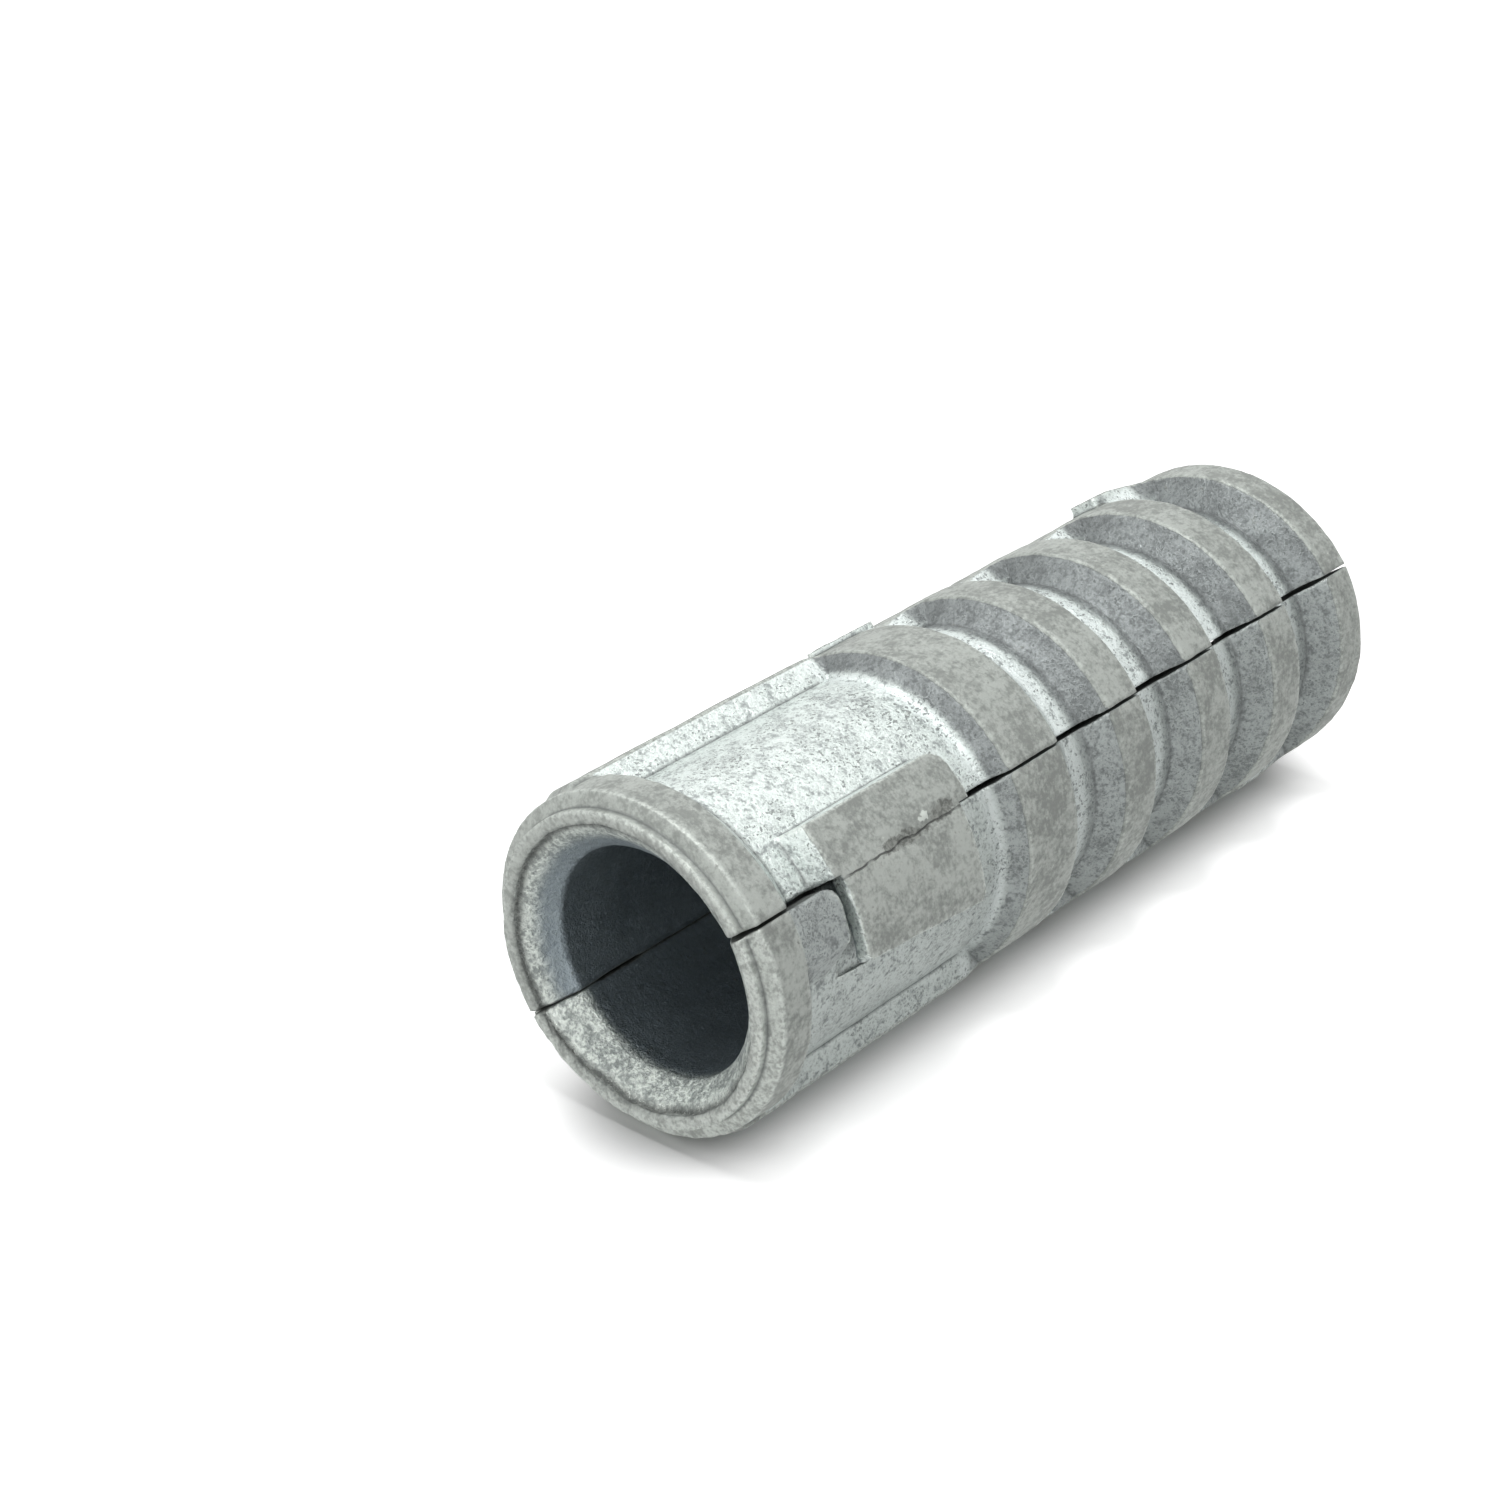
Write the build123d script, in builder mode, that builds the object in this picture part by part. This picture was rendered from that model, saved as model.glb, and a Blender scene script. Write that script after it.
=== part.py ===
from build123d import *

import math
import os

# Lag shield anchor for a 3/8 inch lag screw, in millimetres.
# It stands on its tail face with its mouth up. The axis is Z, and the split plane is X = 0.
# The tab half lies on the +X side and the plain half on the -X side.

# Driving dimensions
length = 44.45
outer_radius = 7.94
wall_thickness = 2.74
mouth_collar_length = 2.34
ribs_start = 16.94
wide_rib_width = 3.33
rib_width = 2.15
narrow_rib_count = 3
tail_collar_width = 2.05

# Outside form; a groove's wall is as long along the axis as this share of the groove's width
smooth_depth = 0.95
smooth_wall_run = 0.95
groove_depths = [1.0, 1.1, 1.2, 1.35]
groove_wall_share = 0.29
nose_inset = 0.64
nose_length = 0.4
nose_step = 0.22
tail_edge_break = 0.35
plain_half_inset = 0.45

# Inside form
rim_wall = 1.29
lead_in_length = 1.4
tail_wall_thickness = 2.14
tail_bore_rise = 2.95
plain_bore_length = 14.0
thread_pitch = 3.63
thread_height = 0.35
tail_scoop_wall = 3.44
tail_scoop_length = 2.6

# Split between the halves, and its wider gap between the ribs
split_gap = 0.12
recess_gap = 0.22
relief_margin = 0.3
mouth_relief_length = 0.6

# Crown ridges, one along the middle of each half, lower between the ribs than on the smooth part
ridge_height = 0.17
ridge_top_width = 1.5
ridge_foot_width = 2.8
ridge_groove_drop = 0.22
ridge_rib_drop = 0.05
ridge_mouth_gap = 0.9
ridge_end_slope = 0.35
tab_fin_height = 0.49
plain_fin_height = 0.13
fin_flat = 0.75
fin_overlap = 0.6
lip_height = 0.25
lip_width = 0.3
lip_overrun = 0.95

# Pads, tabs and ears, alike on both sides; distances along the axis are taken from the mouth
pad_start = 4.65
pad_end = 13.9
pad_bevel = 0.65
pad_rise = 2.5
pad_corner = 0.9
tab_inset = 1.0
tab_end_inset = 0.55
tab_drop_start = 3.6
tab_drop_end = 4.15
tab_corner = 0.3
tab_thickness = 0.75
tab_proud = 0.06
tab_lift_clearance = 0.65
tab_edge_gap = 0.08
tab_slot_width = 0.5
tab_tail_gap = 0.35
ear_drop = 2.4
ear_slope = 0.9
ear_corner = 0.8

# Worked out from the driving dimensions
cut = 3 * outer_radius
bore_radius = outer_radius - wall_thickness
tail_bore_radius = outer_radius - tail_wall_thickness
tail_scoop_radius = outer_radius - tail_scoop_wall
smooth_radius = outer_radius - smooth_depth
wall_middle = (bore_radius + smooth_radius) / 2
groove_count = len(groove_depths)
groove_width = (length - ribs_start - wide_rib_width - narrow_rib_count * rib_width
                - tail_collar_width) / groove_count
tail_bore_shift = tail_bore_radius - tail_bore_rise
pad_radius = outer_radius + tab_proud
tab_underside_radius = pad_radius - tab_thickness
tab_pocket_radius = tab_underside_radius - tab_lift_clearance
tab_start = pad_start + tab_inset
tab_end = pad_end - tab_end_inset
ear_end = tab_start - tab_slot_width
pocket_end = tab_end + tab_tail_gap
plain_axis = Axis(origin=(plain_half_inset, 0, 0), direction=(0, 0, 1))


def from_mouth(distance):
    """Height above the tail face of a point at this distance from the mouth."""
    return length - distance


def groove_starts():
    """Distance from the mouth of each groove's edge on the mouth side."""
    first = ribs_start + wide_rib_width
    return [first + index * (groove_width + rib_width) for index in range(groove_count)]


def outline_points():
    """Radius and height along the outside, from the mouth to the tail, with sloping groove walls."""
    nose_radius = outer_radius - nose_inset
    wall_run = groove_wall_share * groove_width
    points = [
        (nose_radius, from_mouth(0)),
        (nose_radius, from_mouth(nose_length)),
        (outer_radius, from_mouth(nose_length + nose_step)),
        (outer_radius, from_mouth(mouth_collar_length)),
        (smooth_radius, from_mouth(mouth_collar_length + smooth_wall_run)),
        (smooth_radius, from_mouth(ribs_start - smooth_wall_run)),
        (outer_radius, from_mouth(ribs_start)),
    ]
    for start, depth in zip(groove_starts(), groove_depths):
        points += [
            (outer_radius, from_mouth(start)),
            (outer_radius - depth, from_mouth(start + wall_run)),
            (outer_radius - depth, from_mouth(start + groove_width - wall_run)),
            (outer_radius, from_mouth(start + groove_width)),
        ]
    points.append((outer_radius, 0))
    return points


# Round body with its collars, ribs and grooves, before it is split
with BuildPart() as body:
    with BuildSketch(Plane.XZ) as outline:
        with BuildLine():
            Polyline((0, length), *outline_points(), (0, 0), close=True)
        make_face()
        tail_rim = outline.vertices().group_by(Axis.Y)[0].sort_by(Axis.X)[-1]
        chamfer(tail_rim, length=tail_edge_break)
    revolve(axis=Axis.Z)


def ridge_profile(fin_height):
    """Height and radius along the top of a crown ridge, from the tail to the mouth."""
    rib_level = outer_radius - ridge_rib_drop
    last_groove = groove_starts()[-1]
    points = [
        (tail_edge_break, rib_level),
        (tail_collar_width, rib_level),
        (from_mouth(last_groove + fin_flat), outer_radius + fin_height),
        (from_mouth(last_groove - fin_overlap), outer_radius + fin_height),
        (from_mouth(last_groove - fin_overlap), rib_level),
    ]
    for start in reversed(groove_starts()[:-1]):
        points += [
            (from_mouth(start + groove_width), rib_level),
            (from_mouth(start + groove_width / 2), rib_level),
            (from_mouth(start), outer_radius - ridge_groove_drop),
        ]
    points += [
        (from_mouth(ribs_start), rib_level),
        (from_mouth(ribs_start - smooth_wall_run), outer_radius + ridge_height),
        (from_mouth(ridge_mouth_gap + ridge_end_slope), outer_radius + ridge_height),
        (from_mouth(ridge_mouth_gap), rib_level),
    ]
    return points


def crown_ridge(fin_height):
    """Crown ridge on the +X side, with sloping flanks and a fin in the last groove."""
    with BuildPart() as ridge:
        with BuildSketch(Plane.XZ):
            with BuildLine():
                Polyline(
                    (wall_middle, from_mouth(ridge_mouth_gap)),
                    (wall_middle, tail_edge_break),
                    *[(radius, height) for height, radius in ridge_profile(fin_height)],
                    close=True,
                )
            make_face()
        extrude(amount=ridge_foot_width, both=True)
        with BuildSketch(Plane.XY):
            with BuildLine():
                Polyline(
                    (0, -ridge_foot_width / 2),
                    (smooth_radius, -ridge_foot_width / 2),
                    (outer_radius + ridge_height, -ridge_top_width / 2),
                    (2 * outer_radius, -ridge_top_width / 2),
                    (2 * outer_radius, ridge_top_width / 2),
                    (outer_radius + ridge_height, ridge_top_width / 2),
                    (smooth_radius, ridge_foot_width / 2),
                    (0, ridge_foot_width / 2),
                    close=True,
                )
            make_face()
        extrude(amount=length, mode=Mode.INTERSECT)
    return ridge.part


# Thin lip of flash along the crown of the tab half's wide rib
with BuildPart() as crown_lip:
    with BuildSketch(Plane.XZ):
        with BuildLine():
            Polyline(
                (wall_middle, from_mouth(ribs_start)),
                (outer_radius + lip_height, from_mouth(ribs_start)),
                (outer_radius + lip_height, from_mouth(groove_starts()[0] + lip_overrun)),
                (wall_middle, from_mouth(groove_starts()[0] + lip_overrun)),
                close=True,
            )
        make_face()
    extrude(amount=lip_width / 2, both=True)

# Raised pads beside the split, as a ring that the pad's outline trims
with BuildPart() as pads:
    with BuildSketch(Plane.XZ):
        with BuildLine():
            Polyline(
                (wall_middle, from_mouth(pad_start)),
                (smooth_radius, from_mouth(pad_start)),
                (pad_radius, from_mouth(pad_start + pad_bevel)),
                (pad_radius, from_mouth(pad_end)),
                (wall_middle, from_mouth(pad_end)),
                close=True,
            )
        make_face()
    revolve(axis=Axis.Z)
    with BuildSketch(Plane.XZ) as pad_outline:
        with BuildLine():
            Polyline(
                (split_gap / 2, from_mouth(pad_start)),
                (pad_rise, from_mouth(pad_start)),
                (pad_rise, from_mouth(pad_end)),
                (split_gap / 2, from_mouth(pad_end)),
                close=True,
            )
        make_face()
        tail_corner = pad_outline.vertices().sort_by(Axis.Y)[:2].sort_by(Axis.X)[-1]
        fillet(tail_corner, radius=pad_corner)
    extrude(amount=cut, both=True, mode=Mode.INTERSECT)

# Retaining tabs, which reach from the pads over the plain half
with BuildPart() as tabs:
    with BuildSketch(Plane.XZ):
        with BuildLine():
            Polyline(
                (tab_underside_radius, from_mouth(tab_start)),
                (pad_radius, from_mouth(tab_start)),
                (pad_radius, from_mouth(tab_end)),
                (tab_underside_radius, from_mouth(tab_end)),
                close=True,
            )
        make_face()
    revolve(axis=Axis.Z)
    with BuildSketch(Plane.XZ) as tab_outline:
        with BuildLine():
            Polyline(
                (split_gap, from_mouth(tab_start)),
                (split_gap, from_mouth(tab_end)),
                (-tab_drop_end, from_mouth(tab_end)),
                (-tab_drop_start, from_mouth(tab_start)),
                close=True,
            )
        make_face()
        low_corners = tab_outline.vertices().sort_by(Axis.X)[:2]
        chamfer(low_corners, length=tab_corner)
    extrude(amount=cut, both=True, mode=Mode.INTERSECT)


def thread_profile():
    """Distance down the threaded bore's own axis and radius, from inside the plain bore to past the tail."""
    straight = from_mouth(plain_bore_length)
    crest_count = int(straight / thread_pitch)
    profile = [(-thread_pitch / 2, bore_radius - thread_height)]
    for index in range(crest_count):
        for share, rise in ((0.2, -thread_height), (0.7, 0.0)):
            distance = (index + share) * straight / crest_count
            taper = distance / straight * (tail_bore_radius - bore_radius)
            profile.append((distance, bore_radius + taper + rise))
    profile.append((straight + thread_pitch, tail_bore_radius))
    return profile


def bore_space(side, rim_shift):
    """Space of one half's bore: lead-in, plain bore, and a threaded part whose axis leans to the tail."""
    top = (0, 0, from_mouth(plain_bore_length))
    thread_axis = Axis(origin=top, direction=(-side * tail_bore_shift, 0, -from_mouth(plain_bore_length)))
    profile = thread_profile()
    with BuildPart() as space:
        with BuildSketch(Plane.XY.offset(from_mouth(0))):
            with Locations((rim_shift, 0)):
                Circle(outer_radius - rim_wall)
        with BuildSketch(Plane.XY.offset(from_mouth(lead_in_length))):
            Circle(bore_radius)
        loft(ruled=True)
        with BuildSketch(Plane.XY.offset(from_mouth(plain_bore_length))):
            Circle(bore_radius)
        extrude(amount=plain_bore_length - lead_in_length)
        with BuildSketch(Plane(origin=top, x_dir=thread_axis.direction, z_dir=(0, -1, 0))):
            with BuildLine():
                Polyline((profile[0][0], 0), *profile, (profile[-1][0], 0), close=True)
            make_face()
        revolve(axis=thread_axis)
    return space.part


# Ears of the plain half, which carry its mouth collar on beside the tabs
with BuildPart() as ears:
    with BuildSketch(Plane.XZ):
        with BuildLine():
            Polyline(
                (plain_half_inset + wall_middle, from_mouth(mouth_collar_length / 2)),
                (plain_half_inset + outer_radius, from_mouth(mouth_collar_length / 2)),
                (plain_half_inset + outer_radius, from_mouth(ear_end)),
                (plain_half_inset + wall_middle, from_mouth(ear_end)),
                close=True,
            )
        make_face()
    revolve(axis=plain_axis)
    with BuildSketch(Plane.XZ) as ear_outline:
        with BuildLine():
            Polyline(
                (-split_gap / 2, from_mouth(mouth_collar_length / 2)),
                (-split_gap / 2, from_mouth(ear_end)),
                (-ear_drop, from_mouth(ear_end)),
                (-ear_drop - ear_slope, from_mouth(ear_end - ear_slope)),
                (-ear_drop - ear_slope, from_mouth(mouth_collar_length / 2)),
                close=True,
            )
        make_face()
        tab_side = ear_outline.vertices().group_by(Axis.Y)[0].sort_by(Axis.X)
        fillet(tab_side, radius=ear_corner)
    extrude(amount=cut, both=True, mode=Mode.INTERSECT)
    with BuildSketch(Plane.XY):
        with BuildLine():
            Polyline(
                (0, outer_radius + ear_slope),
                (0, -outer_radius - ear_slope),
                (-ear_drop + ear_slope, -outer_radius - ear_slope),
                (-ear_drop - ear_slope, -wall_middle),
                (-ear_drop - ear_slope, wall_middle),
                (-ear_drop + ear_slope, outer_radius + ear_slope),
                close=True,
            )
        make_face()
    extrude(amount=length, mode=Mode.INTERSECT)

# Pockets in the plain half, under the tabs, deep enough to let the halves open
with BuildPart() as pockets:
    with BuildSketch(Plane.XZ):
        with BuildLine():
            Polyline(
                (split_gap, from_mouth(ear_end)),
                (split_gap, from_mouth(pocket_end)),
                (-tab_drop_end - tab_edge_gap, from_mouth(pocket_end)),
                (-tab_drop_start - tab_edge_gap, from_mouth(ear_end)),
                close=True,
            )
        make_face()
    extrude(amount=cut, both=True)
    Cylinder(tab_pocket_radius, 3 * length, mode=Mode.SUBTRACT)


def seam_relief_spans():
    """Stretches of the axis, from the mouth, where the split is a wider, darker gap."""
    spans = [
        (0, mouth_relief_length),
        (mouth_collar_length + relief_margin, ear_end),
        (pad_end, ribs_start - relief_margin),
    ]
    spans += [(start + relief_margin, start + groove_width - relief_margin) for start in groove_starts()]
    return spans


# Thin slices that widen the split between the ribs
with BuildPart() as seam_relief:
    for start, end in seam_relief_spans():
        with Locations((0, 0, from_mouth((start + end) / 2))):
            Box(recess_gap, 2 * cut, end - start)

# Half that carries the pads and tabs
with BuildPart() as tab_half:
    add(body.part)
    add(crown_ridge(tab_fin_height))
    add(crown_lip.part)
    with Locations((cut / 2 + split_gap / 2, 0, length / 2)):
        Box(cut, 2 * cut, 2 * length, mode=Mode.INTERSECT)
    add(seam_relief.part, mode=Mode.SUBTRACT)
    add(pads.part)
    add(bore_space(1, 0), mode=Mode.SUBTRACT)
    add(tabs.part)
tab_half.part.label = "tab_half"

# Half that the tabs close over, whose outside sits nearer to the axis
with BuildPart() as plain_half:
    with Locations((plain_half_inset, 0, 0)):
        add(body.part)
        add(crown_ridge(plain_fin_height).mirror(Plane.YZ))
    with Locations((-cut / 2 - split_gap / 2, 0, length / 2)):
        Box(cut, 2 * cut, 2 * length, mode=Mode.INTERSECT)
    add(pockets.part, mode=Mode.SUBTRACT)
    add(seam_relief.part, mode=Mode.SUBTRACT)
    add(ears.part)
    add(bore_space(-1, plain_half_inset), mode=Mode.SUBTRACT)
    with Locations((0, 0, tail_scoop_length / 2)):
        Cone(tail_scoop_radius, tail_scoop_radius / 2, tail_scoop_length, mode=Mode.SUBTRACT)
plain_half.part.label = "plain_half"

os.makedirs("parts", exist_ok=True)
export_step(tab_half.part, "parts/tab_half.step")
export_step(plain_half.part, "parts/plain_half.step")
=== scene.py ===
"""Lag shield anchor: worn die-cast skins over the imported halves, photographed on a pale floor.

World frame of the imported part: the anchor stands on its tail with its mouth up. The photograph shows
it lying on its side, so the camera is rolled and the floor is an upright plane beside the part.
Sizes are in millimetres until they are multiplied by MM, because Blender works in metres.
"""

import bpy
import numpy as np
from mathutils import Matrix, Vector, noise


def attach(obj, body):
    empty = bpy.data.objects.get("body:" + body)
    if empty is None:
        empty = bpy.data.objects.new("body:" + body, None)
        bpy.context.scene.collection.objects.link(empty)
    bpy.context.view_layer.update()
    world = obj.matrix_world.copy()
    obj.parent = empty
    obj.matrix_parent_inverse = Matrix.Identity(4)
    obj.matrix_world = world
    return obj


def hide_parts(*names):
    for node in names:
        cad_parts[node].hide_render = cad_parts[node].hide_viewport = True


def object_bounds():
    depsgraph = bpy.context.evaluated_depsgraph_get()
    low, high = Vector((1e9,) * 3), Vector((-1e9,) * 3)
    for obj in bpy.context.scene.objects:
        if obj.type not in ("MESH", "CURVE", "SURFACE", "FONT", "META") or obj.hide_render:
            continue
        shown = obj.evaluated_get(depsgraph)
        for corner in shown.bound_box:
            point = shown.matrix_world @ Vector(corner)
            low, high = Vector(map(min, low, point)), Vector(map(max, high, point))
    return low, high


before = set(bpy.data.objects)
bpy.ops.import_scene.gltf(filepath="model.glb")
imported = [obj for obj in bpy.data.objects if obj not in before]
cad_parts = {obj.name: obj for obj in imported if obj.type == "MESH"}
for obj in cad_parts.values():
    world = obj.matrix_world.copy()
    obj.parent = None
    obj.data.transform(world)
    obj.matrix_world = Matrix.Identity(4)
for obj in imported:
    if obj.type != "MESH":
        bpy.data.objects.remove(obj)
cad_low, cad_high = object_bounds()

MM = 0.001

# Sizes of the part, as in its source
length = (cad_high.z - cad_low.z) / MM
outer_radius = 7.94
plain_half_inset = 0.45
collar_length = 2.34
rim_inner_radius = 6.65
tab_start, tab_end = 5.65, 13.35
ear_end = 5.4
ear_side = 6.0

# Stretches from a rib's tail side to the next rib, from the mouth
grooves = [(15.2, 16.94), (20.25, 24.18), (26.42, 30.29), (32.49, 36.39), (38.47, 42.4)]

# Parts of a groove, as shares of its stretch: rising from, full from, full to, gone at. The ramp gets painted shade,
# the band a painted highlight
groove_ramp = (0.48, 0.66, 1.0, 1.05)
groove_band = (0.05, 0.25, 0.45, 0.6)

# Mesh of a skin; 2 to the power of the grid's depth cells make up its length
grid_depth, grid_fill = 8, 0.98
weld_distance = 0.0005
soften_factor = 0.4
noise_octaves = 3

# Wear of a skin
dent_size, dent_depth = 2.6, 0.03
ripple_size, ripple_depth = 0.8, 0.012
wear_size, wear_depth = 0.9, 0.04
mark_raggedness_size, mark_raggedness = 0.35, 0.8
split_closed = 0.057

# Line between the rim and the lead-in, a groove painted dark as shade: how far inside the rim, its wander, its depth
# and width
rim_line_inset = 0.12
rim_line_wander_size, rim_line_wander = 1.5, 0.12
rim_line_depth, rim_line_width = 0.16, 0.16

# Punch marks on each tab's crease: distance from the mouth, X, length, width, height
punch_marks = [(9.7, 0.0, 1.3, 0.35, -0.15), (12.2, 0.15, 0.9, 0.4, -0.15), (11.0, 0.35, 0.5, 0.22, 0.22)]

# Crease along each tab, painted dark as shade: its wander, X, and how far from its middle it is full and gone
crease_wander_size, crease_wander = 1.6, 0.7
crease_x = 0.25
crease_full, crease_gone = 0.02, 0.07

# What differs between the halves. Body; seed of the noise; X of the axis of its outside; whether it carries the
# tabs; share of the ear that is cast skin and gets the ramps' painted shade; depth at which the lead-in's painted
# light has ended; linear greys of the worn skin, of the cast skin's dark and bright parts, of the groove's band (a
# painted highlight) and of the lead-in, which differ between the halves as painted light and shade; how dark the
# grooves' ramps' painted shade gets; how shiny the rim gets and how strong its painted glint is
halves = {
    "tab_half": dict(
        body="tab_body", seed=1, axis_x=0.0, has_tabs=True, ear_cast_and_shade=0.0, lead_in_end=1.5,
        worn_shade=0.58, cast_shades=(0.38, 0.82), band_highlight=0.86, lead_in_shade=0.85,
        ramp_shade_share=0.9, rim_glint_share=0.25),
    # Painted light and shade set the halves' greys apart: the plain half has darker cast skin, band and worn skin, a
    # brighter lead-in, more rim glint and lighter ramp shade
    "plain_half": dict(
        body="plain_body", seed=5, axis_x=plain_half_inset, has_tabs=False, ear_cast_and_shade=0.85, lead_in_end=2.5,
        worn_shade=0.55, cast_shades=(0.24, 0.55), band_highlight=0.62, lead_in_shade=1.0,
        ramp_shade_share=0.6, rim_glint_share=0.7),
}

# Camera, fitted to the photograph
photo_focal = 2837.1
photo_width = 1500
sensor = 36.0
clip_start, clip_end = 0.005, 10
camera_place = Vector((10.712, -91.362, 113.458)) * MM
camera_forward = Vector((-0.04109, 0.75031, -0.65981))
camera_up = Vector((0.89103, -0.27128, -0.36398))

# Floor of the photograph: an upright plane just clear of the plain half's ribs
floor_tilt_x = 0.831
floor_up = Vector((floor_tilt_x, -0.556, 0.0)).normalized()
floor_clearance = 0.07
floor_distance = (outer_radius - plain_half_inset * floor_tilt_x + floor_clearance) * MM
floor_radius = 1.2
floor_shade = 0.8

# The floor is lifted to white from one distance to another, measured from the line that it touches the part along
near_lift, far_lift = 0.0, 0.8
near_edge, far_edge = 2.4, 7.4
contact_end_inset = 3
mirrored_lift = 0.5

# Lamps: place from the part along the photograph's right, up and far directions in metres, width, depth, watts
lamps = {
    "overhead": (0.0, 0.6, -0.02, 0.16, 0.16, 1.5),
    "behind": (0.0, 0.35, 0.5, 0.4, 0.3, 0.3),
    "left": (-0.5, 0.35, -0.1, 0.25, 0.25, 0.35),
    "mouth": (-0.3, 0.25, -0.5, 0.25, 0.25, 0.5),
    "right": (0.5, 0.3, 0.1, 0.3, 0.3, 0.2),
}
surroundings, seen_surroundings = 0.08, 1.0

part_middle = Vector((0, 0, (cad_low.z + cad_high.z) / 2))
away = (camera_forward - camera_forward.dot(floor_up) * floor_up).normalized()
rightward = away.cross(floor_up)


def metal(value, red=0.94, blue=0.94):
    """Linear grey with the photograph's slight green, or bluer for the dark cast skin, its pits and the painted
    shades.
    """
    return (value * red, value, value * blue, 1.0)


def white(value=1.0):
    return (value, value, value, 1.0)


# Colours that don't depend on the half
painted_ramp_shades = metal(0.16, 0.93, 1.01), metal(0.29, 0.93, 1.01)
pit_shade = metal(0.16, 0.92, 1.0)
hollow_painted_shade = metal(0.12, 0.92, 1.0)
bore_painted_shade = metal(0.31, 0.85, 1.1)
edge_highlight = metal(0.9)
rim_glint = metal(0.95)
punch_shades = metal(0.12, 0.96, 0.91), metal(0.3, 0.96, 0.92)
burr_shade = metal(0.92)
rim_line_painted_shade = metal(0.07)
split_painted_shade = metal(0.1)
crease_painted_shade = metal(0.05)


# Mesh of a skin

def link(piece):
    bpy.context.scene.collection.objects.link(piece)


def remeshed(source):
    """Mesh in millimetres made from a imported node, evenly meshed, with its sharp edges kept."""
    mesh = source.data.copy()
    mesh.transform(Matrix.Scale(1 / MM, 4))
    holder = bpy.data.objects.new("holder", mesh)
    link(holder)
    weld = holder.modifiers.new("weld", "WELD")
    weld.merge_threshold = weld_distance
    grid = holder.modifiers.new("grid", "REMESH")
    grid.mode = "SHARP"
    grid.octree_depth = grid_depth
    grid.scale = grid_fill
    grid.use_remove_disconnected = False
    grid.use_smooth_shade = True
    soften = holder.modifiers.new("soften", "SMOOTH")
    soften.factor = soften_factor
    soften.iterations = 1
    bpy.context.view_layer.update()
    result = bpy.data.meshes.new_from_object(holder.evaluated_get(bpy.context.evaluated_depsgraph_get()))
    bpy.data.objects.remove(holder)
    result.materials.clear()
    return result


def mesh_arrays(mesh):
    """Places, normals and edges of a mesh as arrays."""
    places = np.empty(len(mesh.vertices) * 3)
    mesh.vertices.foreach_get("co", places)
    normals = np.empty(len(mesh.vertices) * 3)
    mesh.vertex_normals.foreach_get("vector", normals)
    edges = np.empty(len(mesh.edges) * 2, dtype=int)
    mesh.edges.foreach_get("vertices", edges)
    return places.reshape(-1, 3), normals.reshape(-1, 3), edges.reshape(-1, 2)


def neighbour_mean(values, edges):
    """Mean of each point's neighbours, for values with one or more columns."""
    total = np.zeros_like(values)
    count = np.zeros(len(values))
    for start, end in ((0, 1), (1, 0)):
        np.add.at(total, edges[:, start], values[edges[:, end]])
        np.add.at(count, edges[:, start], 1)
    return total / np.maximum(count, 1).reshape(-1, *[1] * (values.ndim - 1))


def bending(places, normals, edges):
    """Curvature of the surface: positive in a hollow, negative on an edge, about 1 at a sharp corner."""
    spacing = np.linalg.norm(places[edges[:, 0]] - places[edges[:, 1]], axis=1).mean()
    offset = neighbour_mean(places, edges) - places
    curve = (offset * normals).sum(axis=1) / spacing * 4
    return (curve + neighbour_mean(curve, edges)) / 2


def field(places, size, seed):
    """Seeded noise from about -1 to 1 at each place, for lumps of this size."""
    shift = Vector((seed * 17.3, seed * -9.1, seed * 5.7))
    return np.array([noise.fractal(Vector(place) / size + shift, 1.0, 2.0, noise_octaves) for place in places])


def rising(value, none, full):
    """0 up to one value and 1 from the other, with a smooth step between them."""
    share = np.clip((value - none) / (full - none), 0, 1)
    return share * share * (3 - 2 * share)


def falling(value, full, none):
    return rising(-value, -none, -full)


def between(value, none, full, full_to, none_from):
    return rising(value, none, full) * falling(value, full_to, none_from)


def punched(across, from_mouth):
    """Height that the punch marks add to the surface of a tab."""
    height = np.zeros(len(across))
    for start, side, long, wide, rise in punch_marks:
        height += rise * np.exp(-((from_mouth - start) / long) ** 2 - ((across - side) / wide) ** 2)
    return height


def add_masks(mesh, masks):
    """Stores masks on the points of a mesh, where the material reads them by name."""
    for name, values in masks.items():
        made = mesh.attributes.new(name, "FLOAT", "POINT")
        made.data.foreach_set("value", np.clip(values, 0, 1).astype(np.float32))


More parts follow.
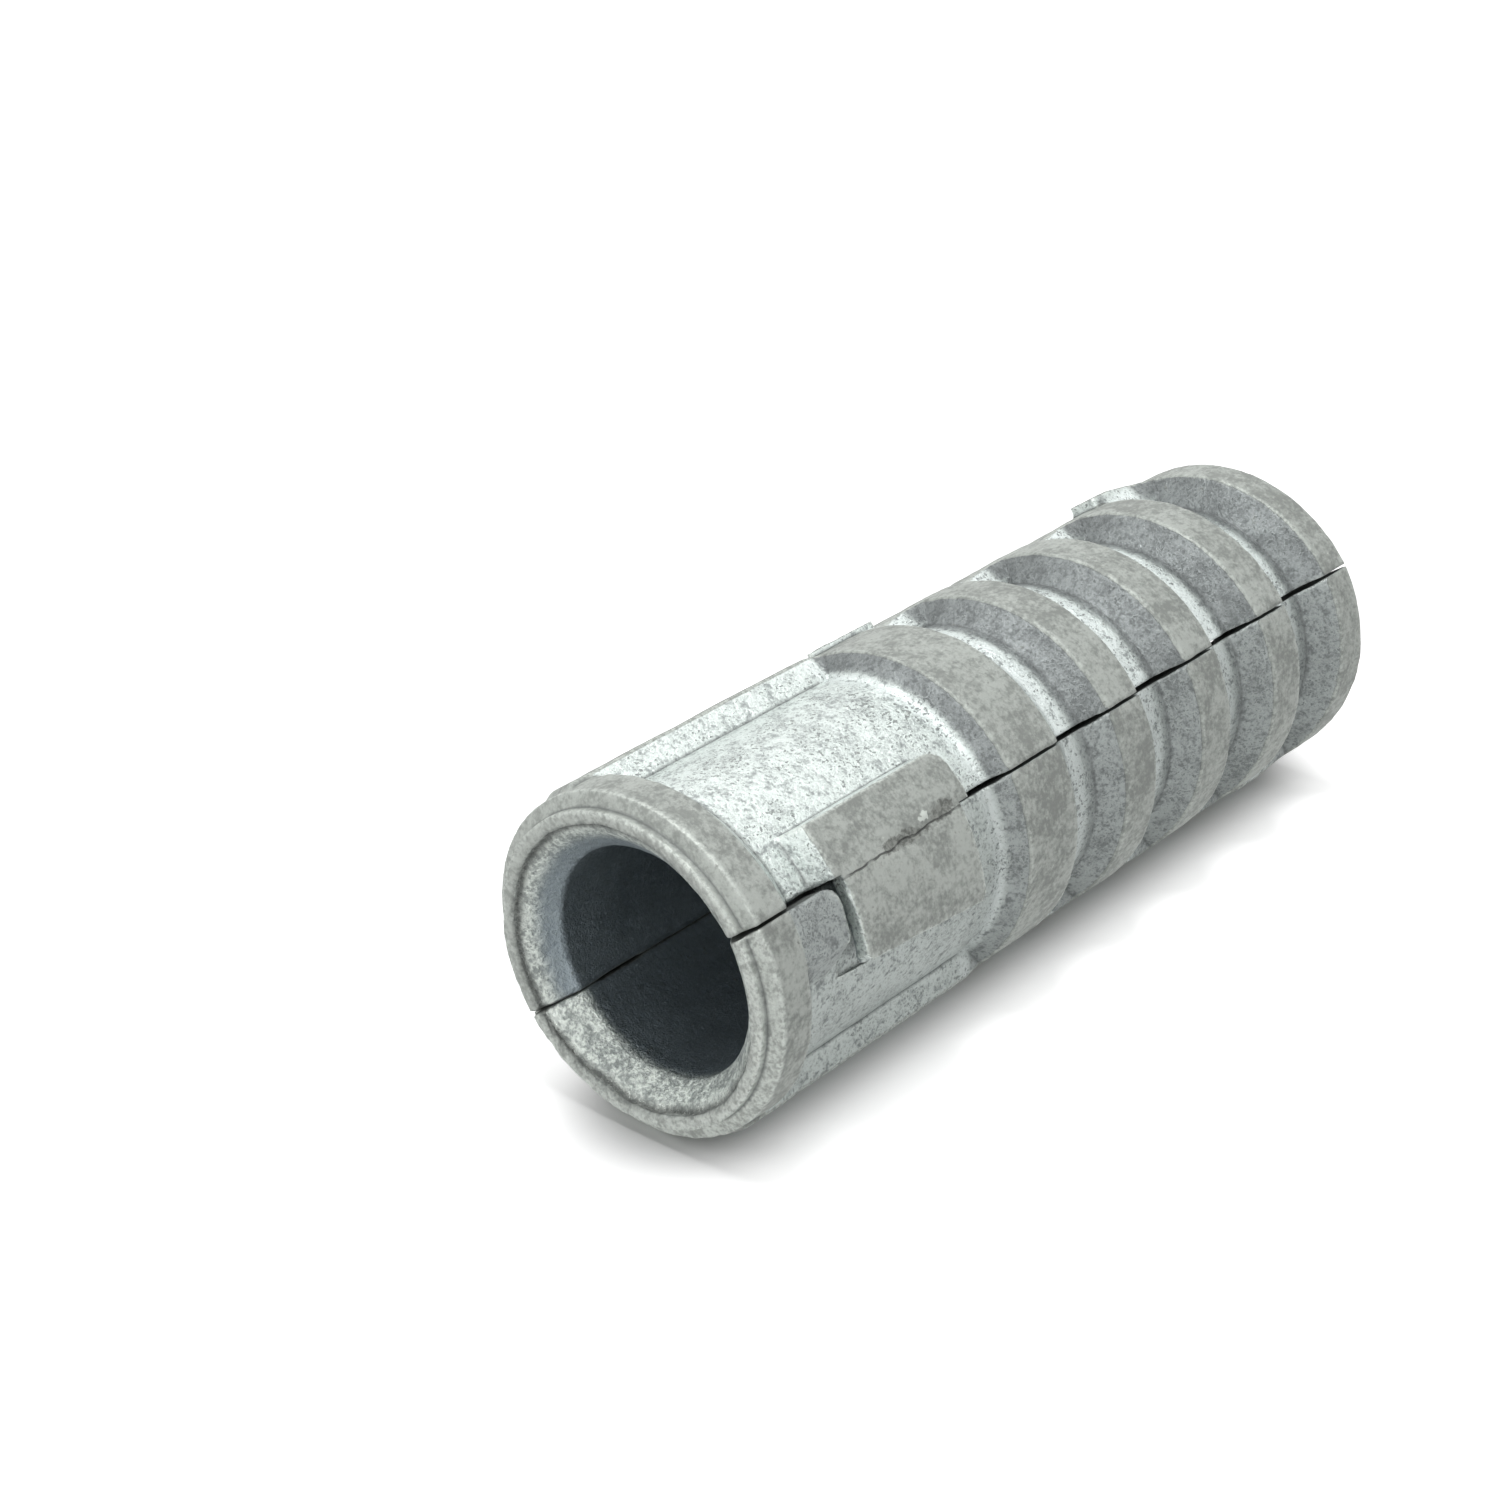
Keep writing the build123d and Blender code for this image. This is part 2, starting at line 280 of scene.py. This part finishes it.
def add_skin(node_name, half):
    """Piece that stands for a half: its form with worn edges, dents, and masks for the material, which include where
    painted shade and painted highlights go.
    """
    body, seed, lead_in_end = half["body"], half["seed"], half["lead_in_end"]
    mesh = remeshed(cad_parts[node_name])
    places, normals, edges = mesh_arrays(mesh)
    curve = bending(places, normals, edges)
    centred = places[:, 0] - half["axis_x"]
    radius = np.hypot(centred, places[:, 1])
    from_mouth = length - places[:, 2]
    off_split, off_middle = np.abs(places[:, 0]), np.abs(places[:, 1])
    outward = (normals[:, 0] * centred + normals[:, 1] * places[:, 1]) / radius
    upward = rising(normals[:, 2], 0.2, 0.5)

    # Form: marks, dents, ripples and worn edges, with the far side of the split pushed together
    dents = field(places, dent_size, seed) * dent_depth
    ripples = field(places, ripple_size, seed + 1) * ripple_depth
    marks = punched(places[:, 0], from_mouth) * rising(outward, 0.7, 0.9) * half["has_tabs"]
    marks *= 1 + field(places, mark_raggedness_size, seed + 3) * mark_raggedness
    wander = field(places, rim_line_wander_size, seed + 4) * rim_line_wander
    off_rim = (radius - rim_inner_radius + rim_line_inset + wander) / rim_line_width
    rim_line = np.exp(-off_rim ** 2) * falling(from_mouth, 0.45, 0.7) * upward
    marks -= rim_line * rim_line_depth
    edge = rising(-curve, 0.25, 0.9)
    worn_away = edge * (0.5 + field(places, wear_size, seed + 2)) * wear_depth
    split = rising(np.abs(normals[:, 0]), 0.7, 0.95) * falling(off_split, 0.1, 0.2)
    closed = split * rising(places[:, 1], 2.0, 4.0) * split_closed
    moved = places + normals * (dents + ripples + marks - worn_away)[:, None] * (1 - split[:, None])
    moved += normals * closed[:, None]
    mesh.vertices.foreach_set("co", (moved * MM).ravel())

    # Masks: where the skin is worn, cast, hollow, marked or inside, and where painted shade and painted highlights
    # go
    ear = between(from_mouth, collar_length, collar_length + 0.15, ear_end - 0.1, ear_end)
    ear *= half["ear_cast_and_shade"] * rising(off_middle, ear_side, ear_side + 0.4)
    high = rising(radius, outer_radius - 0.2, outer_radius - 0.05) * rising(outward, 0.5, 0.9) * (1 - ear)
    rim = falling(from_mouth, collar_length - 0.1, collar_length + 0.05) * rising(radius, 6.4, 6.7)
    tail = rising(from_mouth, length - 0.3, length - 0.1)
    # The grooves' ramps, and the plain half's ear with them, get painted shade; their bands get a painted highlight
    ramp, band = ear, np.zeros(len(radius))
    for start, end in grooves:
        share = (from_mouth - start) / (end - start)
        ramp = np.maximum(ramp, between(share, *groove_ramp))
        band = np.maximum(band, between(share, *groove_band))
    inside = rising(-outward, 0.1, 0.4)
    outside = rising(outward, 0.3, 0.6)
    add_masks(mesh, {
        "worn": np.maximum(np.maximum(high, rim), tail),
        "rim": falling(from_mouth, 0.6, 0.9) * rising(radius, 6.2, 6.5),
        "rim_line": rim_line,
        "edge": edge * rising(off_split, 0.15, 0.4),
        "split": split,
        "ramp": ramp * outside,
        "band": band * outside,
        "hollow": rising(curve, 0.15, 0.6) * (1 - band),
        "bore": inside * rising(from_mouth, lead_in_end - 1.1, lead_in_end - 0.5),
        "lead_in": inside * falling(from_mouth, lead_in_end - 0.9, lead_in_end),
        "dented": rising(-marks, 0.02, 0.09) * (1 - upward),
        "burr": rising(marks, 0.04, 0.12),
    })
    mesh.update()

    piece = bpy.data.objects.new(node_name + "_skin", mesh)
    link(piece)
    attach(piece, body)
    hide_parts(node_name)
    mesh.materials.append(zinc("zinc_" + node_name, half))


# Materials

def set_input(tree, node, name, value):
    """Sets a socket to a constant, or links it when the value is another node's output."""
    socket = node.inputs[name]
    if isinstance(value, bpy.types.NodeSocket):
        tree.links.new(value, socket)
    else:
        socket.default_value = value


class Nodes:
    """Short calls that add nodes to one material or world and return their outputs."""

    def __init__(self, owner):
        owner.use_nodes = True
        self.tree = owner.node_tree
        self.tree.nodes.clear()

    def add(self, kind, settings=None, **inputs):
        node = self.tree.nodes.new(kind)
        for name, value in (settings or {}).items():
            setattr(node, name, value)
        for name, value in inputs.items():
            set_input(self.tree, node, name.replace("_", " "), value)
        return node

    def fill(self, node, inputs):
        for name, value in inputs:
            set_input(self.tree, node, name, value)
        return node

    def output(self, kind, shader):
        self.fill(self.add(kind), [("Surface", shader.outputs[0])])

    def math(self, operation, first, second=0.0, third=0.0, clamp=False):
        node = self.add("ShaderNodeMath", {"operation": operation, "use_clamp": clamp})
        return self.fill(node, enumerate((first, second, third))).outputs[0]

    def times(self, first, second):
        return self.math("MULTIPLY", first, second)

    def ramp(self, value, low, high, to_low=0.0, to_high=1.0):
        node = self.add("ShaderNodeMapRange", {"interpolation_type": "SMOOTHSTEP"})
        self.fill(node, (("Value", value), ("From Min", low), ("From Max", high),
                         ("To Min", to_low), ("To Max", to_high)))
        return node.outputs["Result"]

    def mix(self, share, first, second):
        node = self.add("ShaderNodeMix", {"data_type": "RGBA"})
        return self.fill(node, ((0, share), (6, first), (7, second))).outputs[2]

    def blend(self, share, first, second):
        node = self.add("ShaderNodeMix", {"data_type": "FLOAT"})
        return self.fill(node, ((0, share), (2, first), (3, second))).outputs[0]

    def paint(self, colour, mask, share, shade):
        """Colour with a shade over it where the mask is, at most this share of it."""
        return self.mix(self.times(mask, share), colour, shade)

    def ragged(self, mask, texture, amount, low, high):
        """Mask with its edge made ragged by a noise texture."""
        centred = self.math("SUBTRACT", texture, 0.5)
        return self.ramp(self.math("MULTIPLY_ADD", centred, amount, mask), low, high)

    def noise(self, vector, size, detail=4.0, roughness=0.55):
        node = self.add("ShaderNodeTexNoise", Vector=vector, Scale=1 / (size * MM), Detail=detail,
                        Roughness=roughness)
        return node.outputs["Fac"]

    def attribute(self, name):
        return self.add("ShaderNodeAttribute", {"attribute_name": name}).outputs["Fac"]


def crease(nodes, place):
    """Mask of the thin wavy line along each tab, where it leaves its pad; the line gets painted shade."""
    axes = nodes.add("ShaderNodeSeparateXYZ", Vector=place).outputs
    wave = nodes.noise(place, crease_wander_size, detail=2.5)
    bow = nodes.math("MULTIPLY_ADD", wave, crease_wander * MM, axes["X"])
    off_line = nodes.math("ABSOLUTE", nodes.math("SUBTRACT", bow, crease_x * MM))
    line = nodes.ramp(off_line, crease_gone * MM, crease_full * MM)
    top, bottom = (length - tab_start) * MM, (length - tab_end) * MM
    inside = nodes.times(nodes.math("LESS_THAN", axes["Z"], top), nodes.math("GREATER_THAN", axes["Z"], bottom))
    fade = nodes.ramp(nodes.noise(place, 0.7), 0.35, 0.55, 0.35, 1.0)
    return nodes.times(nodes.times(line, inside), fade)


def zinc(name, half):
    """Tumbled zinc die casting: bright pitted casting skin in the hollows, matte worn grey on the high places, with
    painted shade and painted highlights over them.
    """
    material = bpy.data.materials.new(name)
    nodes = Nodes(material)
    place = nodes.add("ShaderNodeTexCoord").outputs["Object"]
    shift = (half["seed"] * 0.013, half["seed"] * 0.007, 0.0)
    shifted = nodes.add("ShaderNodeMapping", Vector=place, Location=shift).outputs[0]
    masks = {mask: nodes.attribute(mask) for mask in (
        "worn", "edge", "hollow", "ramp", "band", "rim", "rim_line", "bore", "lead_in", "dented", "burr", "split")}

    broad = nodes.noise(shifted, 2.4, detail=3.0)
    mottle = nodes.noise(shifted, 0.6, detail=7.0, roughness=0.74)
    speck = nodes.noise(shifted, 0.2, detail=4.0, roughness=0.65)
    grain = nodes.noise(shifted, 0.12, detail=3.0, roughness=0.6)
    tone = nodes.math("MULTIPLY_ADD", speck, 0.45, nodes.times(mottle, 0.55))
    calm_tone = nodes.math("MULTIPLY_ADD", broad, 0.3, nodes.times(tone, 0.7))
    worn_mask = nodes.ragged(masks["worn"], mottle, 0.6, 0.38, 0.62)

    # Cast skin, with painted shade on the grooves' ramps and a painted highlight on their bands, and pits
    dark, bright = half["cast_shades"]
    cast = nodes.mix(nodes.ramp(tone, 0.39, 0.53), metal(dark, 0.92, 0.99), metal(bright, 0.92, 0.965))
    # Painted shade on the grooves' ramps and on the plain half's ear
    cast = nodes.paint(cast, masks["ramp"], half["ramp_shade_share"], nodes.mix(nodes.ramp(tone, 0.4, 0.6), *painted_ramp_shades))
    # Painted highlight on each groove's band behind its rib
    cast = nodes.paint(cast, masks["band"], nodes.ramp(tone, 0.4, 0.5), metal(half["band_highlight"], 0.93, 0.98))
    pits = nodes.times(nodes.ragged(speck, broad, 0.4, 0.59, 0.64), nodes.math("SUBTRACT", 1.0, masks["lead_in"]))
    cast = nodes.paint(cast, pits, 0.75, pit_shade)

    # Worn skin over it, then what is painted over both: painted light on the lead-in, painted highlights on edges
    # and rim, painted shade in hollows, bore, rim line and split, and the punch and burr marks
    worn_shade, lead_in_shade = half["worn_shade"], half["lead_in_shade"]
    worn = nodes.mix(nodes.ramp(calm_tone, 0.42, 0.58), metal(worn_shade * 0.58), metal(worn_shade))
    colour = nodes.mix(worn_mask, cast, worn)
    # Painted light on the lead-in, paler and reaching deeper on the plain half
    lead_in = nodes.mix(nodes.ramp(tone, 0.42, 0.58), metal(lead_in_shade * 0.42, 0.92, 0.97), metal(lead_in_shade))
    colour = nodes.paint(colour, masks["lead_in"], 0.95, lead_in)
    # Painted highlight on convex edges, broken up by noise
    colour = nodes.paint(colour, masks["edge"], nodes.ramp(speck, 0.4, 0.6, 0.15, 0.75), edge_highlight)
    # Painted glint on the rim, whose mask also lowers its roughness
    glinting_shiny_rim = nodes.times(masks["rim"], nodes.ramp(tone, 0.4, 0.62, 0.15, half["rim_glint_share"]))
    colour = nodes.mix(glinting_shiny_rim, colour, rim_glint)
    # Painted shade in hollows and creases
    colour = nodes.paint(colour, masks["hollow"], 0.75, hollow_painted_shade)
    # Painted shade inside the bore, with a bluish tint
    colour = nodes.paint(colour, masks["bore"], 0.9, bore_painted_shade)
    # Darker in the punch dents and brighter on the raised burr
    punch = nodes.mix(nodes.ramp(speck, 0.4, 0.6), *punch_shades)
    colour = nodes.paint(colour, nodes.ragged(masks["dented"], mottle, 3.5, 0.4, 0.7), 0.75, punch)
    colour = nodes.paint(colour, nodes.ragged(masks["burr"], speck, 2.0, 0.35, 0.6), 0.8, burr_shade)
    # Painted shade in the rim line's groove
    colour = nodes.paint(colour, masks["rim_line"], 0.85, rim_line_painted_shade)
    # Painted shade on the faces of the split, so the seam between the halves reads dark
    colour = nodes.paint(colour, masks["split"], 0.9, split_painted_shade)

    fine = nodes.ramp(speck, 0.35, 0.65)
    rough = nodes.blend(worn_mask, nodes.blend(fine, 0.5, 0.32), nodes.blend(fine, 0.62, 0.48))
    rough = nodes.math("SUBTRACT", rough, nodes.times(glinting_shiny_rim, 0.25))
    rough = nodes.blend(masks["split"], rough, 0.85)
    metallic = nodes.blend(worn_mask, 0.85, 0.45)

    lumps = nodes.math("MULTIPLY_ADD", mottle, 0.7, nodes.times(speck, 0.5))
    lumps = nodes.math("MULTIPLY_ADD", grain, 0.25, lumps)
    lumps = nodes.math("SUBTRACT", lumps, nodes.times(pits, 0.25))
    depth = nodes.math("MULTIPLY_ADD", masks["lead_in"], 0.12, nodes.blend(worn_mask, 0.1, 0.05))
    height = nodes.times(lumps, depth)
    if half["has_tabs"]:
        # Painted shade along each tab's crease, with a small dip in the bump
        line = crease(nodes, place)
        colour = nodes.paint(colour, line, 0.8, crease_painted_shade)
        height = nodes.math("SUBTRACT", height, nodes.times(line, 0.06))
    bump = nodes.add("ShaderNodeBump", Height=height, Distance=MM, Strength=1.0)

    shader = nodes.add("ShaderNodeBsdfPrincipled", Base_Color=colour, Roughness=rough, Metallic=metallic,
                       Normal=bump.outputs[0])
    nodes.output("ShaderNodeOutputMaterial", shader)
    return material


def ray_masks(nodes):
    """1 for rays from the camera, and 1 for its rays that were mirrored or went through something, else 0."""
    path = nodes.add("ShaderNodeLightPath").outputs
    return path["Is Camera Ray"], nodes.math("ADD", path["Is Glossy Ray"], path["Is Transmission Ray"], clamp=True)


def floor_material():
    """Pale floor that keeps the part's shadow, fades to white away from the part and is seen only from above."""
    material = bpy.data.materials.new("pale_floor")
    nodes = Nodes(material)
    diffuse = nodes.add("ShaderNodeBsdfDiffuse", Color=white(floor_shade))

    # Distance on the floor from the line along which it touches the part
    place = nodes.add("ShaderNodeTexCoord").outputs["Object"]
    axes = nodes.add("ShaderNodeSeparateXYZ", Vector=place).outputs
    off_middle = nodes.math("ABSOLUTE", nodes.math("SUBTRACT", axes["Z"], part_middle.z))
    beyond = nodes.math("MAXIMUM", nodes.math("SUBTRACT", off_middle, part_middle.z - contact_end_inset * MM), 0.0)
    sideways = nodes.math("DIVIDE", nodes.math("SUBTRACT", axes["Y"], -floor_up.y * floor_distance), floor_up.x)
    off_part = nodes.math("SQRT", nodes.math("MULTIPLY_ADD", beyond, beyond, nodes.times(sideways, sideways)))

    faded = nodes.ramp(off_part, near_edge * MM, far_edge * MM, near_lift, far_lift)
    camera, mirrored = ray_masks(nodes)
    lift_strength = nodes.math("MULTIPLY_ADD", camera, faded, nodes.times(mirrored, mirrored_lift))
    lift = nodes.add("ShaderNodeEmission", Color=white(), Strength=lift_strength)
    lit = nodes.fill(nodes.add("ShaderNodeAddShader"), ((0, diffuse.outputs[0]), (1, lift.outputs[0])))
    clear = nodes.add("ShaderNodeBsdfTransparent")
    behind = nodes.add("ShaderNodeNewGeometry").outputs["Backfacing"]
    chosen = nodes.fill(nodes.add("ShaderNodeMixShader"), ((0, behind), (1, lit.outputs[0]), (2, clear.outputs[0])))
    nodes.output("ShaderNodeOutputMaterial", chosen)
    return material


# Floor, lights and camera

def turned_to(direction, up):
    """Rotation whose -Z looks along the direction with +Y towards up."""
    back = -direction.normalized()
    right = up.cross(back).normalized()
    return Matrix((right, back.cross(right), back)).transposed().to_4x4()


def add_floor():
    corners = [part_middle - floor_up * floor_distance + rightward * (a * floor_radius) + away * (b * floor_radius)
               for a, b in ((-1, -1), (1, -1), (1, 1), (-1, 1))]
    mesh = bpy.data.meshes.new("floor")
    mesh.from_pydata(corners, [], [(0, 1, 2, 3)])
    mesh.materials.append(floor_material())
    floor = bpy.data.objects.new("floor", mesh)
    link(floor)


def add_lamp(name, sideways, height, beyond, width, depth, watts):
    """Soft lamp that looks at the part, with its width along the photograph's right."""
    place = part_middle + (rightward * sideways + floor_up * height + away * beyond)
    data = bpy.data.lights.new(name, "AREA")
    data.shape = "RECTANGLE"
    data.size = width
    data.size_y = depth
    data.energy = watts
    lamp = bpy.data.objects.new(name, data)
    direction = part_middle - place
    lamp.matrix_world = Matrix.Translation(place) @ turned_to(direction, rightward.cross(direction))
    link(lamp)


def light_world():
    """Even surroundings, dim as a light and white to camera and mirror rays."""
    world = bpy.data.worlds.new("studio")
    bpy.context.scene.world = world
    nodes = Nodes(world)
    seen = nodes.math("ADD", *ray_masks(nodes), clamp=True)
    strength = nodes.blend(seen, surroundings, seen_surroundings)
    nodes.output("ShaderNodeOutputWorld", nodes.add("ShaderNodeBackground", Color=white(), Strength=strength))


def add_camera():
    data = bpy.data.cameras.new("camera")
    data.sensor_width = sensor
    data.lens = photo_focal / photo_width * sensor
    data.clip_start = clip_start
    data.clip_end = clip_end
    camera = bpy.data.objects.new("camera", data)
    camera.matrix_world = Matrix.Translation(camera_place) @ turned_to(camera_forward, camera_up)
    link(camera)
    bpy.context.scene.camera = camera


for node_name, half in halves.items():
    add_skin(node_name, half)
add_floor()
light_world()
for name, setting in lamps.items():
    add_lamp(name, *setting)
add_camera()
bpy.context.scene.view_settings.view_transform = "Standard"
